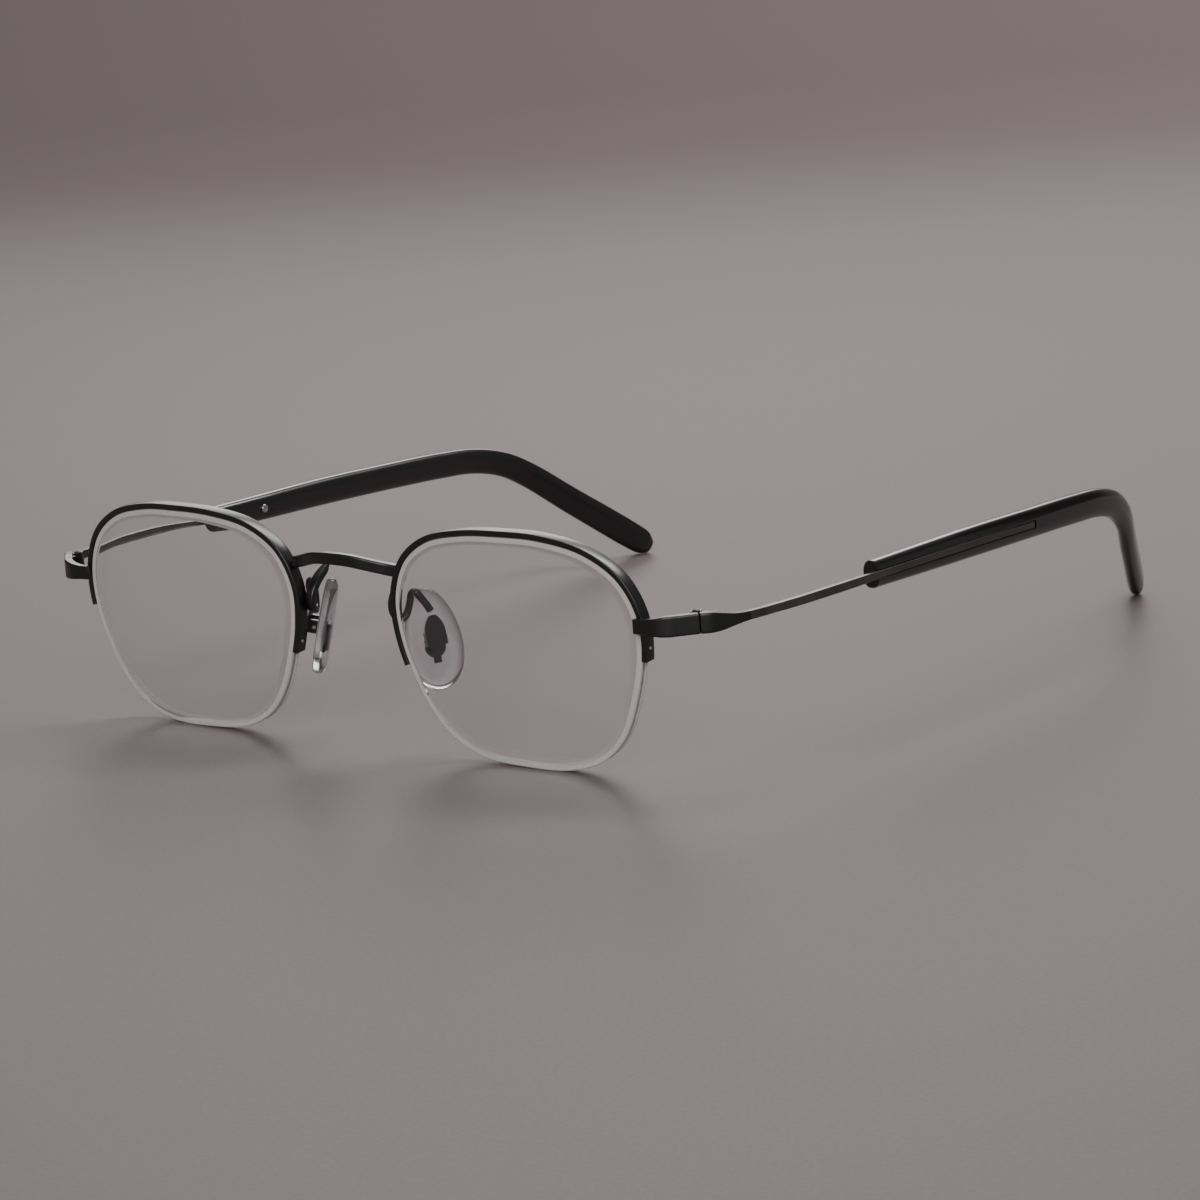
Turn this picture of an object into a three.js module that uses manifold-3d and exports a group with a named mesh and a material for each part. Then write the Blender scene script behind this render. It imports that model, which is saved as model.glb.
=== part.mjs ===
// Half rim eyeglasses: two rimless-bottomed lenses hung from upper rim wires by nylon cords, a bridge,
// endpieces with screwed hinges, wire temples inlaid in acetate tips, and rocking silicone nose pads.
// Millimetres. +X is the wearer's left, -Y is the front, +Z is up. The glasses stand open on z = 0.

import * as THREE from 'three';
import { mergeVertices } from 'three/addons/utils/BufferGeometryUtils.js';
import Module from 'manifold-3d';

const wasm = await Module();
wasm.setup();

// ---- Driving dimensions ----

const GAP = 0.1; // between pieces that are soldered, glued or seated on each other
const TILT = THREE.MathUtils.degToRad(5.6); // the lens planes and hinge axes lean forward at the top
const WRAP = THREE.MathUtils.degToRad(1.65); // each lens turns back towards its temple

const LENS = {
  centreX: 34, centreZ: 19.3, thickness: 2, radius: 90, frontBevel: 0.35, backBevel: 0.15, segments: 40,
};
// The lens outline, seen from the front: [towards the temple, up] from the lens centre.
const LENS_OUTLINE = [
  [23, 0], [22.8, 6], [20, 11.5], [14.5, 15.3], [7, 17.1], [0, 17.4],
  [-8, 17], [-15.4, 15.3], [-20.6, 11.6], [-23.1, 6], [-22.9, 0], [-21.2, -5.8],
  [-18.8, -11], [-15.2, -15.4], [-9.5, -18.4], [0, -19.3], [8, -19.1], [13.6, -17.3], [18, -13.4], [21, -7.5],
];
const GROOVE = { depth: 0.62, mouth: 0.9, floor: 0.6 };

const RIM = { width: 0.9, depth: 2.2, chamfer: 0.2, channelDepth: 0.4, channelWidth: 0.8, steps: 30 };
const RIM_ENDS = { nasal: -4.6, temporal: -0.6 }; // heights of the two ends on the lens outline
const LINER = { width: 0.36, inner: -0.3, outer: 0.4, steps: 24 };
const CORD = {
  radius: 0.26, seat: -0.31, holeRadius: 0.38, holeFromEnd: 1.9, proud: 0.15, turn: 0.9, steps: 30,
};

const BRIDGE = { depth: 1.5, height: 1.9, steps: 24 };
const BRIDGE_LINE = [ // half of the arched line: x, y, z
  [0, -0.3, 31.4], [3.5, 0.1, 31.2], [7, 1.5, 30.35], [9.3, 2.65, 29.75], [10.75, 3.1, 29.5],
];

// The hinge axis stands at the seam between endpiece and temple, which runs outwards at `turn`.
const HINGE = {
  x: 64.45, y: 7.75, z: 24.9, turn: Math.PI / 4, radius: 0.85, bore: 0.42, height: 3.3,
  knuckle: 1.05, leaf: 0.55,
  leafLength: 1.75, leafInset: 0.25, turningRoom: 0.15,
};
const SCREW = { shaft: 0.35, head: 0.75, headHeight: 0.3, slotWidth: 0.22, slotDepth: 0.15, edge: 0.08 };

// Lofted pieces: each station is x, y, z, thickness across, height.
const ENDPIECE_STATIONS = [
  [56.9, 2.35, 24.6, 0.9, 2.25], [58.4, 2.35, 24.6, 1.1, 2.3], [60.4, 2.5, 24.65, 1.3, 2.7],
  [62.2, 3.3, 24.75, 1.4, 3.1], [63.4, 4.4, 24.8, 1.4, 3.1], [64.5, 5.5, 24.85, 1.4, 3.1],
  [65.6, 6.6, 24.9, 1.4, 3.1],
];
const TEMPLE_STATIONS = [
  [65.75, 6.75, 24.9, 1.4, 3.1], [66.9, 7.9, 24.9, 1.4, 3.1], [67.7, 9.2, 24.85, 1.3, 2.7],
  [68.5, 11.2, 24.85, 1.15, 1.9], [69.1, 13.4, 24.9, 1, 1.45], [69.6, 16, 24.95, 1, 1.35],
  [70.2, 20, 25.02, 1, 1.35], [70.8, 25, 25.08, 1, 1.35], [71.2, 32, 25.13, 1, 1.35],
  [71.3, 40, 25.13, 1, 1.3], [71.2, 47, 25.1, 0.9, 1.15], [71.15, 60, 25.05, 0.9, 1.15],
  [71.35, 76, 25, 0.9, 1.15], [71.05, 91.5, 24.7, 0.9, 1.15],
];
const TIP_STATIONS = [
  [69.9, 45.8, 25.02, 2.9, 4.3], [69.9, 58, 25, 3.2, 4.6], [70.05, 75, 25, 3.3, 4.9],
  [69.8, 92, 24.75, 3.3, 4.9],
  [69.25, 107, 24.4, 3.2, 4.9], [68.5, 116.5, 23.8, 3.1, 4.8], [67.3, 124, 22, 3, 4.8],
  [65.7, 129.8, 18.9, 2.9, 4.9],
  [62.2, 137.3, 13.1, 2.9, 5.1], [58.6, 144.8, 7.4, 2.9, 5.3], [56.6, 149, 4.2, 2.9, 5.2],
  [55.5, 151.4, 2.4, 2.6, 4.6], [54.95, 152.6, 1.5, 1.5, 2.8],
];
// The channel in the acetate that the temple wire lies in, open on the outer face.
const CHANNEL = { clearance: 0.12, wireFrom: 40, endY: 92, wireAcross: 0.9, wireHeight: 1.15, openBy: 2 };
const RIVET = { y: 57.6, head: 0.75, shaft: 0.35, headHeight: 0.35, recess: 0.8, dimple: 0.12, edge: 0.1 };

// The pad arm is a flat wire curled in a loop: x, y, z, thickness across, thickness in the curl.
const PAD_ARM_STATIONS = [
  [8.5, 8.3, 28.6, 0.7, 0.5], [8.5, 7.2, 27.6, 1.2, 1.4], [8.55, 5.2, 26, 1.3, 1.7],
  [8.6, 3.95, 24, 1.3, 1.6],
  [8.8, 4.1, 22.2, 1.2, 1.5], [9.3, 5.3, 21.4, 1.1, 1.3], [9.9, 6.3, 22, 1, 1.1], [10.4, 6.85, 24, 1, 1],
  [10.8, 6.95, 25.4, 1, 1], [11.5, 7.1, 25.7, 1, 1], [12.1, 7.45, 24.8, 1, 1], [12.6, 8.1, 23.6, 1, 1],
  [12.9, 8.65, 22.5, 1, 1],
];
const PAD = {
  centre: [11.6, 10.15, 17.6], down: [3.6, -1, -15.3], splay: THREE.MathUtils.degToRad(35),
  width: 9, height: 16, thickness: 2.2, narrowing: 0.14, segments: 20,
};
const PAD_SCREW = { depth: -1.75, shaft: 0.3, head: 0.6, headHeight: 0.2, proud: 0.3, bore: 0.38 };
const PAD_BOX = {
  width: 3.2, tip: 1, shoulder: 2.4, top: 3.6, bottom: -1.1, plate: 0.5, back: -3,
  cheek: 0.5, cheekFace: -1.3,
};
const PAD_LUG = {
  width: 1.8, half: 0.65, disc: 1.65, discHeight: 0.4, drop: 1.3, tail: 3.8, tailWidth: 1.2, sunk: 0.6,
};

// ---- Finishes ----

const finish = (color, roughness, metalness) =>
  new THREE.MeshStandardMaterial({ color, roughness, metalness });
const MATERIALS = {
  blackMetal: finish('#16161a', 0.42, 0.8),
  gunmetal: finish('#3c3e42', 0.3, 0.95),
  steel: finish('#c9c9cc', 0.22, 1),
  acetate: finish('#0b0b0d', 0.12, 0),
  lens: finish('#e6ecec', 0.03, 0),
  nylon: finish('#f0efe9', 0.35, 0),
  silicone: finish('#e8ecf0', 0.2, 0),
};

// ---- Shape helpers ----

const vec = (x, y, z) => new THREE.Vector3(x, y, z);

function signedVolume(positions, index) {
  const [a, b, c] = [vec(), vec(), vec()];
  let volume = 0;
  for (let i = 0; i < index.length; i += 3) {
    a.fromArray(positions, 3 * index[i]);
    b.fromArray(positions, 3 * index[i + 1]);
    c.fromArray(positions, 3 * index[i + 2]);
    volume += a.dot(b.cross(c)) / 6;
  }
  return volume;
}

function closedGeometry(points, index) {
  const positions = points.flatMap((p) => [p.x, p.y, p.z]);
  if (signedVolume(positions, index) < 0) index = flipped(index);
  const geometry = new THREE.BufferGeometry();
  geometry.setAttribute('position', new THREE.Float32BufferAttribute(positions, 3));
  geometry.setIndex(index);
  return geometry;
}

function flipped(index) {
  const turned = Array.from(index);
  for (let i = 0; i < turned.length; i += 3) {
    [turned[i + 1], turned[i + 2]] = [turned[i + 2], turned[i + 1]];
  }
  return turned;
}

// Joins equal closed rings of points into one skin. A ring end is closed by its section's own triangles.
function skin(rings, section) {
  const size = rings[0].length;
  const index = [];
  for (let r = 0; r + 1 < rings.length; r++) {
    for (let i = 0; i < size; i++) {
      const a = r * size + i;
      const b = r * size + ((i + 1) % size);
      index.push(a, b, b + size, a, b + size, a + size);
    }
  }
  const last = (rings.length - 1) * size;
  const outline = THREE.ShapeUtils.isClockWise(section) ? section.slice().reverse() : section;
  const order = outline === section ? (i) => i : (i) => size - 1 - i;
  for (const triangle of THREE.ShapeUtils.triangulateShape(outline, [])) {
    const [a, b, c] = triangle.map(order);
    const [p, q, r] = outline === section ? [a, b, c] : [a, c, b];
    index.push(p, r, q, last + p, last + q, last + r);
  }
  return closedGeometry(rings.flat(), index);
}

// A rounded rectangle of half sizes 1, to be scaled by a station's two sizes.
function roundedSection(corner, cornerPoints) {
  const section = [];
  for (let quarter = 0; quarter < 4; quarter++) {
    const [sx, sy] = [[1, 1], [-1, 1], [-1, -1], [1, -1]][quarter];
    for (let k = 0; k < cornerPoints; k++) {
      const angle = (quarter + (cornerPoints === 1 ? 0.5 : k / (cornerPoints - 1))) * Math.PI / 2;
      const reach = 1 - corner;
      section.push(new THREE.Vector2(
        (sx * reach + corner * Math.cos(angle)) / 2,
        (sy * reach + corner * Math.sin(angle)) / 2,
      ));
    }
  }
  return section;
}

// Skins a section along stations [x, y, z, across, height], drawn smoothly; `up` is the height direction.
function loft(stations, steps, section, up) {
  const line = new THREE.CatmullRomCurve3(stations.map(([x, y, z]) => vec(x, y, z)), false, 'centripetal');
  const rings = [];
  for (let i = 0; i <= steps; i++) {
    const t = i / steps;
    const place = Math.min(t * (stations.length - 1), stations.length - 1 - 1e-9);
    const [here, next] = [stations[Math.floor(place)], stations[Math.floor(place) + 1]];
    const across = THREE.MathUtils.lerp(here[3], next[3], place % 1);
    const height = THREE.MathUtils.lerp(here[4], next[4], place % 1);
    const centre = line.getPoint(t);
    const along = line.getTangent(t);
    const rise = up.clone().addScaledVector(along, -up.dot(along)).normalize();
    const out = rise.clone().cross(along);
    rings.push(section.map((p) => centre.clone()
      .addScaledVector(out, p.x * across)
      .addScaledVector(rise, p.y * height)));
  }
  return skin(rings, section);
}

function toSolid(geometry) {
  const plain = geometry.clone();
  plain.deleteAttribute('normal');
  plain.deleteAttribute('uv');
  const merged = mergeVertices(plain, 1e-4);
  return new wasm.Manifold(new wasm.Mesh({
    numProp: 3,
    vertProperties: Float32Array.from(merged.attributes.position.array),
    triVerts: Uint32Array.from(merged.index.array),
  }));
}

function toGeometry(solid) {
  const mesh = solid.getMesh();
  const geometry = new THREE.BufferGeometry();
  geometry.setAttribute('position', new THREE.Float32BufferAttribute(mesh.vertProperties, 3));
  geometry.setIndex(Array.from(mesh.triVerts));
  return geometry;
}

function box(x0, x1, y0, y1, z0, z1) {
  const geometry = new THREE.BoxGeometry(x1 - x0, y1 - y0, z1 - z0);
  return geometry.translate((x0 + x1) / 2, (y0 + y1) / 2, (z0 + z1) / 2);
}

// A cylinder from `start` to `end`.
function rod(start, end, radius, segments = 16) {
  const along = end.clone().sub(start);
  const geometry = new THREE.CylinderGeometry(radius, radius, along.length(), segments);
  const turn = new THREE.Quaternion().setFromUnitVectors(vec(0, 1, 0), along.clone().normalize());
  return geometry.applyQuaternion(turn).translate(...start.clone().add(end).multiplyScalar(0.5).toArray());
}

function mesh(name, geometry, material) {
  const result = new THREE.Mesh(geometry, material);
  result.name = name;
  return result;
}

// ---- The lens edge, shared by lens, rim, liner and cord. Local axes: x to the temple, y back, z up ----

const outline = new THREE.CatmullRomCurve3(LENS_OUTLINE.map(([u, v]) => vec(u, 0, v)), true, 'centripetal');
const outlineLength = outline.getLength();
const frontDepth = (u, v) => (u * u + v * v) / (2 * LENS.radius);

// A point at arc position t on the outline, `out` outside the lens edge and `depth` behind its front.
function edgePoint(t, out, depth) {
  const wrapped = ((t % 1) + 1) % 1;
  const p = outline.getPointAt(wrapped);
  const along = outline.getTangentAt(wrapped);
  return vec(p.x + out * along.z, frontDepth(p.x, p.z) + depth, p.z - out * along.x);
}

// The arc position where the outline passes a height, on the temple side (+1) or the nose side (-1).
function arcAtHeight(height, side) {
  const samples = 800;
  let best = 0;
  let nearest = Infinity;
  for (let i = 0; i < samples; i++) {
    const p = outline.getPointAt(i / samples);
    const miss = Math.abs(p.z - height);
    if (p.x * side > 10 && miss < nearest) [best, nearest] = [i / samples, miss];
  }
  return best;
}

const rimStart = arcAtHeight(RIM_ENDS.temporal, 1);
const rimEnd = arcAtHeight(RIM_ENDS.nasal, -1);
const rimFrom = rimStart > 0.5 ? rimStart - 1 : rimStart; // the arc runs from the temple over the top
const holeArc = CORD.holeFromEnd / outlineLength;

// Sweeps a section of [out, depth] pairs along the outline.
function edgeSweep(from, to, steps, pairs) {
  const rings = [];
  for (let i = 0; i <= steps; i++) {
    const t = THREE.MathUtils.lerp(from, to, i / steps);
    rings.push(pairs.map(([out, depth]) => edgePoint(t, out, depth)));
  }
  return skin(rings, pairs.map(([out, depth]) => new THREE.Vector2(out, depth)));
}

function lensGeometry() {
  const middle = LENS.thickness / 2;
  const edge = [
    [-LENS.frontBevel, 0], [0, LENS.frontBevel], [0, middle - GROOVE.mouth / 2],
    [-GROOVE.depth, middle - GROOVE.floor / 2],
    [-GROOVE.depth, middle + GROOVE.floor / 2], [0, middle + GROOVE.mouth / 2],
    [0, LENS.thickness - LENS.backBevel],
    [-LENS.backBevel, LENS.thickness],
  ];
  const ring = ([out, depth]) => Array.from(
    { length: LENS.segments }, (_, i) => edgePoint(i / LENS.segments, out, depth));
  const inner = (scale, depth) => ring([0, 0]).map((p) => vec(
    p.x * scale, frontDepth(p.x * scale, p.z * scale) + depth, p.z * scale));
  const rings = [inner(0.5, 0), ...edge.map(ring), inner(0.5, LENS.thickness)];
  const section = rings[0].map((p) => new THREE.Vector2(p.x, p.z));
  return skin(rings, section);
}

function rimGeometry() {
  const front = (LENS.thickness - RIM.depth) / 2;
  const back = front + RIM.depth;
  const outer = GAP + RIM.width;
  const [near, far] = [LENS.thickness / 2 - RIM.channelWidth / 2, LENS.thickness / 2 + RIM.channelWidth / 2];
  const channel = GAP + RIM.channelDepth;
  const rim = toSolid(edgeSweep(rimFrom, rimEnd, RIM.steps, [
    [GAP, front], [outer - RIM.chamfer, front], [outer, front + RIM.chamfer], [outer, back - RIM.chamfer],
    [outer - RIM.chamfer, back], [GAP, back], [GAP, far], [channel, far], [channel, near], [GAP, near],
  ]));
  const hole = (t) => toSolid(rod(
    edgePoint(t, GAP, LENS.thickness / 2), edgePoint(t, outer + 1, LENS.thickness / 2), CORD.holeRadius, 10));
  return toGeometry(rim.subtract(hole(rimFrom + holeArc)).subtract(hole(rimEnd - holeArc)));
}

function linerGeometry() {
  const clear = 4 * holeArc;
  const [near, far] = [(LENS.thickness - LINER.width) / 2, (LENS.thickness + LINER.width) / 2];
  return edgeSweep(rimFrom + clear, rimEnd - clear, LINER.steps, [
    [LINER.inner, near], [LINER.outer, near], [LINER.outer, far], [LINER.inner, far],
  ]);
}

// The cord comes in through a hole near each rim end, turns into the lens groove and runs under the lens.
function cordGeometry() {
  const middle = LENS.thickness / 2;
  const outer = GAP + RIM.width + CORD.proud;
  const mm = 1 / outlineLength;
  const turnIn = [[0, outer], [0, 0.5], [0.12, 0.05], [0.4, -0.24]];
  const [first, last] = [rimEnd - holeArc, rimFrom + holeArc + 1];
  const centres = turnIn.map(([run, out]) => edgePoint(first + run * mm, out, middle));
  const steps = CORD.steps;
  for (let i = 0; i <= steps; i++) {
    const t = THREE.MathUtils.lerp(first + CORD.turn * mm, last - CORD.turn * mm, i / steps);
    centres.push(edgePoint(t, CORD.seat, middle));
  }
  turnIn.reverse();
  centres.push(...turnIn.map(([run, out]) => edgePoint(last - run * mm, out, middle)));
  const section = roundedSection(1, 2);
  const rings = centres.map((centre, i) => {
    const ahead = centres[Math.min(i + 1, centres.length - 1)];
    const along = ahead.clone().sub(centres[Math.max(i - 1, 0)]).normalize();
    const back = vec(0, 1, 0).addScaledVector(along, -along.y).normalize();
    const out = back.clone().cross(along);
    return section.map((p) => centre.clone()
      .addScaledVector(out, 2 * CORD.radius * p.x)
      .addScaledVector(back, 2 * CORD.radius * p.y));
  });
  return skin(rings, section);
}

// ---- Bridge and endpiece ----

function bridgeGeometry() {
  const right = BRIDGE_LINE.slice(1).reverse().map(([x, y, z]) => [-x, y, z]);
  const line = [...right, ...BRIDGE_LINE];
  const ends = (i) => (i === 0 || i === line.length - 1 ? 0.75 : 1);
  const stations = line.map(([x, y, z], i) => [x, y, z, BRIDGE.depth * ends(i), BRIDGE.height * ends(i)]);
  return loft(stations, BRIDGE.steps, roundedSection(0.45, 2), vec(0, 0, 1));
}

const endpieceGeometry = () => loft(ENDPIECE_STATIONS, 14, roundedSection(0.3, 2), vec(0, 0, 1));

// ---- Hinge, in its own axes: origin on the screw axis, x outwards, y back, z along the screw ----

function knuckle(low, high) {
  const profile = [
    [HINGE.bore, low], [HINGE.radius, low], [HINGE.radius, high], [HINGE.bore, high], [HINGE.bore, low],
  ];
  const ring = new THREE.LatheGeometry(profile.map(([r, z]) => new THREE.Vector2(r, z)), 16);
  return toSolid(ring.rotateX(Math.PI / 2));
}

// A flat leaf beside the seam, joined by webs to its knuckles; `direction` is -1 in front and +1 behind.
function hingeLeaf(direction, knuckles) {
  const top = HINGE.height / 2 - HINGE.leafInset;
  const [inner, outer] = [HINGE.radius - HINGE.leaf, HINGE.radius];
  const clear = HINGE.radius + HINGE.turningRoom;
  const bar = (from, to, low, high) => {
    const [front, back] = direction < 0 ? [-to, -from] : [from, to];
    return toSolid(box(inner, outer, front, back, low, high));
  };
  let solid = bar(clear, HINGE.leafLength, -top, top);
  for (const [low, high] of knuckles) {
    solid = solid.add(bar(0, clear + GAP, Math.max(low, -top), Math.min(high, top))).add(knuckle(low, high));
  }
  const bore = toSolid(rod(vec(0, 0, -HINGE.height), vec(0, 0, HINGE.height), HINGE.bore + 0.02));
  return toGeometry(solid.subtract(bore));
}

function hingeScrewGeometry() {
  const half = HINGE.height / 2;
  const top = half + GAP + SCREW.headHeight;
  const profile = [
    [0, -half], [SCREW.shaft, -half], [SCREW.shaft, half + GAP], [SCREW.head, half + GAP],
    [SCREW.head, top - SCREW.edge], [SCREW.head - SCREW.edge, top], [0, top],
  ];
  const screw = toSolid(new THREE.LatheGeometry(profile.map(([r, z]) => new THREE.Vector2(r, z)), 14)
    .rotateX(Math.PI / 2));
  const slot = toSolid(box(-1, 1, -SCREW.slotWidth / 2, SCREW.slotWidth / 2, top - SCREW.slotDepth, top + 1));
  return toGeometry(screw.subtract(slot));
}

function hingeGroup(...parts) {
  const group = new THREE.Group();
  group.position.set(HINGE.x, HINGE.y, HINGE.z);
  group.rotation.set(TILT, 0, -HINGE.turn);
  group.add(...parts);
  return group;
}

// ---- Temple ----

const templeGeometry = () => loft(TEMPLE_STATIONS, 30, roundedSection(0.35, 2), vec(0, 0, 1));

function tipGeometry() {
  const tip = toSolid(loft(TIP_STATIONS, 33, roundedSection(0.6, 4), vec(0, 0, 1)));
  const across = CHANNEL.openBy + CHANNEL.wireAcross + 2 * CHANNEL.clearance;
  const height = CHANNEL.wireHeight + 2 * CHANNEL.clearance;
  const inlaid = TEMPLE_STATIONS.filter(([, y]) => y >= CHANNEL.wireFrom);
  const [endX, , endZ] = inlaid[inlaid.length - 1];
  const stations = [...inlaid, [endX, CHANNEL.endY, endZ]].map(([x, y, z]) => [
    x + CHANNEL.openBy / 2, y, z, across, height]);
  const channel = toSolid(loft(stations, 18, roundedSection(0.05, 1), vec(0, 0, 1)));
  const [x, z] = rivetPlace();
  const bottom = x + RIVET.recess;
  const hole = toSolid(rod(vec(x - 3, RIVET.y, z), vec(bottom, RIVET.y, z), RIVET.shaft + GAP, 10));
  return toGeometry(tip.subtract(channel).subtract(hole));
}

// The rivet head sits on the inner face of the acetate, on its middle line.
function rivetPlace() {
  const [x, , z, across] = TIP_STATIONS[1];
  return [x - across / 2, z];
}

function rivetGeometry() {
  const [x, z] = rivetPlace();
  const face = -GAP;
  const rim = face - RIVET.headHeight;
  const profile = [
    [0, rim + RIVET.dimple], [RIVET.shaft - RIVET.edge, rim + RIVET.dimple], [RIVET.shaft, rim],
    [RIVET.head - RIVET.edge, rim], [RIVET.head, rim + RIVET.edge], [RIVET.head, face],
    [RIVET.shaft, face], [RIVET.shaft, RIVET.recess - GAP], [0, RIVET.recess - GAP],
  ];
  const rivet = new THREE.LatheGeometry(profile.map(([r, h]) => new THREE.Vector2(r, h)), 14);
  return rivet.rotateZ(-Math.PI / 2).translate(x, RIVET.y, z);
}

// ---- Pad arm and nose pad. Pad axes: x across the pad, y towards the nose, z up it ----

// The arm bends in one upright plane after another; this direction stays across all of them.
const padArmGeometry = () => loft(PAD_ARM_STATIONS, 33, roundedSection(0.6, 2), vec(0.8, -0.6, 0));

function padBasis() {
  const down = vec(...PAD.down).normalize();
  const plan = vec(Math.sin(PAD.splay), Math.cos(PAD.splay), 0);
  const across = plan.addScaledVector(down, -plan.dot(down)).normalize();
  const up = down.clone().negate();
  return new THREE.Matrix4().makeBasis(across, up.clone().cross(across), up);
}

function padGroup(...parts) {
  const group = new THREE.Group();
  group.position.set(...PAD.centre);
  group.quaternion.setFromRotationMatrix(padBasis());
  group.add(...parts);
  return group;
}

// The screw runs across the pad, behind it.
const padBore = () => toSolid(
  rod(vec(-PAD_BOX.width, PAD_SCREW.depth, 0), vec(PAD_BOX.width, PAD_SCREW.depth, 0), PAD_SCREW.bore, 12),
);

// A spade-shaped plate on the end of the arm, with a cheek on each side of the pad's lug.
function padBoxGeometry() {
  const half = PAD_BOX.width / 2;
  const plate = new THREE.Shape();
  plate.moveTo(-half, PAD_BOX.bottom);
  plate.lineTo(half, PAD_BOX.bottom);
  plate.lineTo(half, -PAD_BOX.bottom);
  plate.quadraticCurveTo(half, PAD_BOX.shoulder, PAD_BOX.tip / 2, PAD_BOX.top);
  plate.lineTo(-PAD_BOX.tip / 2, PAD_BOX.top);
  plate.quadraticCurveTo(-half, PAD_BOX.shoulder, -half, -PAD_BOX.bottom);
  plate.closePath();
  const sheet = { depth: PAD_BOX.plate, bevelEnabled: false, curveSegments: 4 };
  const back = new THREE.ExtrudeGeometry(plate, sheet);
  back.rotateX(Math.PI / 2).translate(0, PAD_BOX.back + PAD_BOX.plate, 0);
  let solid = toSolid(back);
  for (const [a, b] of [[-half, -half + PAD_BOX.cheek], [half - PAD_BOX.cheek, half]]) {
    solid = solid.add(toSolid(box(a, b, PAD_BOX.back, PAD_BOX.cheekFace, PAD_BOX.bottom, -PAD_BOX.bottom)));
  }
  return toGeometry(solid.subtract(padBore()));
}

// The insert's disc and tail, or with `spare` the pocket in the back of the pad that holds them.
function insertPlate(spare) {
  const face = PAD_LUG.sunk - PAD.thickness / 2;
  const back = spare ? -PAD.thickness : face - PAD_LUG.discHeight;
  const disc = rod(vec(0, back, -PAD_LUG.drop), vec(0, face + spare, -PAD_LUG.drop), PAD_LUG.disc + spare, 18);
  const half = PAD_LUG.tailWidth / 2 + spare;
  const tail = box(-half, half, back, face + spare, -PAD_LUG.tail - spare, -PAD_LUG.drop);
  return toSolid(disc).add(toSolid(tail));
}

// The insert is moulded into the back of the pad, and its lug carries the screw.
function padInsertGeometry() {
  const face = PAD_LUG.sunk - PAD.thickness / 2;
  const half = PAD_LUG.half;
  const wide = PAD_LUG.width / 2;
  const lug = toSolid(box(-wide, wide, PAD_SCREW.depth - half, face, -half - PAD_LUG.drop / 2, half));
  return toGeometry(insertPlate(0).add(lug).subtract(padBore()));
}

function padScrewGeometry() {
  const half = PAD_BOX.width / 2;
  const seat = -half - GAP / 2;
  const profile = [
    [0, seat - PAD_SCREW.headHeight], [PAD_SCREW.head, seat - PAD_SCREW.headHeight], [PAD_SCREW.head, seat],
    [PAD_SCREW.shaft, seat], [PAD_SCREW.shaft, half + PAD_SCREW.proud], [0, half + PAD_SCREW.proud],
  ];
  const screw = new THREE.LatheGeometry(profile.map(([r, h]) => new THREE.Vector2(r, h)), 12);
  return screw.rotateZ(Math.PI / 2).translate(0, PAD_SCREW.depth, 0);
}

// The pad's outline is an egg shape, narrower at the top; its two faces are crowned.
function nosePadGeometry() {
  const layers = [ // depth from the middle, inset
    [-0.5, 0.75], [-0.43, 0.3], [-0.25, 0.05], [0, 0], [0.2, 0.15], [0.36, 0.6], [0.46, 1.4], [0.5, 2.4],
  ];
  const rings = layers.map(([depth, inset]) => {
    const ring = [];
    for (let i = 0; i < PAD.segments; i++) {
      const angle = (i / PAD.segments) * 2 * Math.PI;
      const rise = Math.sin(angle);
      const halfWidth = (PAD.width / 2) * (1 - PAD.narrowing * rise) - inset;
      ring.push(vec(halfWidth * Math.cos(angle), depth * PAD.thickness, (PAD.height / 2 - inset) * rise));
    }
    return ring;
  });
  const pad = toSolid(skin(rings, rings[0].map((p) => new THREE.Vector2(p.x, p.z))));
  const wide = PAD_LUG.width / 2 + GAP;
  const high = PAD_LUG.half + GAP;
  const floor = PAD_LUG.sunk + GAP - PAD.thickness / 2;
  const lugRoom = toSolid(box(-wide, wide, -PAD.thickness, floor, -high, high));
  return toGeometry(pad.subtract(insertPlate(GAP)).subtract(lugRoom));
}

// ---- Assembly: the left half is made, and the right half is its mirror image ----

function leftLensGroup() {
  const group = new THREE.Group();
  group.position.set(LENS.centreX, 0, LENS.centreZ);
  group.rotation.set(TILT, 0, WRAP, 'ZYX');
  group.add(
    mesh('lens_left', lensGeometry(), MATERIALS.lens),
    mesh('rim_left', rimGeometry(), MATERIALS.blackMetal),
    mesh('rim_liner_left', linerGeometry(), MATERIALS.nylon),
    mesh('nylon_cord_left', cordGeometry(), MATERIALS.nylon),
  );
  return group;
}

function leftHinge() {
  const half = HINGE.height / 2;
  const outerKnuckles = [[-half, -half + HINGE.knuckle], [half - HINGE.knuckle, half]];
  const middleKnuckle = [[-half + HINGE.knuckle + GAP, half - HINGE.knuckle - GAP]];
  return hingeGroup(
    mesh('hinge_front_left', hingeLeaf(-1, outerKnuckles), MATERIALS.blackMetal),
    mesh('hinge_rear_left', hingeLeaf(1, middleKnuckle), MATERIALS.blackMetal),
    mesh('hinge_screw_left', hingeScrewGeometry(), MATERIALS.blackMetal),
  );
}

function leftHalf() {
  const group = new THREE.Group();
  group.add(
    leftLensGroup(),
    leftHinge(),
    mesh('endpiece_left', endpieceGeometry(), MATERIALS.blackMetal),
    mesh('temple_left', templeGeometry(), MATERIALS.gunmetal),
    mesh('temple_tip_left', tipGeometry(), MATERIALS.acetate),
    mesh('temple_rivet_left', rivetGeometry(), MATERIALS.steel),
    mesh('pad_arm_left', padArmGeometry(), MATERIALS.blackMetal),
    padGroup(
      mesh('pad_box_left', padBoxGeometry(), MATERIALS.blackMetal),
      mesh('pad_screw_left', padScrewGeometry(), MATERIALS.steel),
      mesh('pad_insert_left', padInsertGeometry(), MATERIALS.blackMetal),
      mesh('nose_pad_left', nosePadGeometry(), MATERIALS.silicone),
    ),
  );
  return group;
}

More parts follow.
